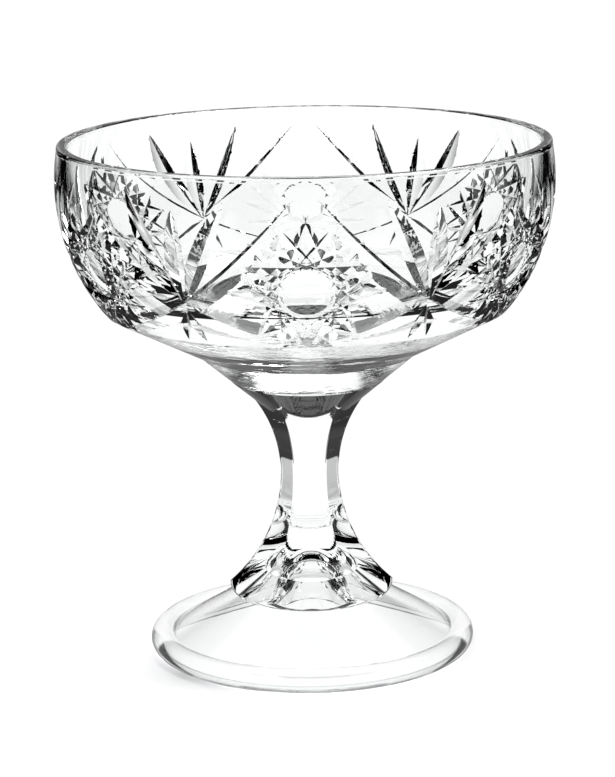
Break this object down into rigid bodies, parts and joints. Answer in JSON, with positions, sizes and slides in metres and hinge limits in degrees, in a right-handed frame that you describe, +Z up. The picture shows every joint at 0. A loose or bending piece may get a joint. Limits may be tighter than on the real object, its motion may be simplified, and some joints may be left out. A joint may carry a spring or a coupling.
{
  "type": "trifle bowl",
  "caption": "Footed trifle bowl in clear pressed crystal, cut with diamonds, fans and hobstars, on a faceted stem and a hollow round foot.",
  "frame": {"origin": "middle of the foot's contact ring, on the surface that the bowl stands on", "axes": "+Z up along the stem, through the middle of the rim; -Y towards the viewer of the picture, facing the middle of a diamond"},
  "size_m": [0.2052, 0.2052, 0.2164],
  "materials": {
    "pressed_crystal": "polished",
    "clear_bond": "clear"
  },
  "bodies": {
    "root": {"bowl": "pressed_crystal", "bond_film": "clear_bond", "pedestal": "pressed_crystal"}
  },
  "joints": []
}
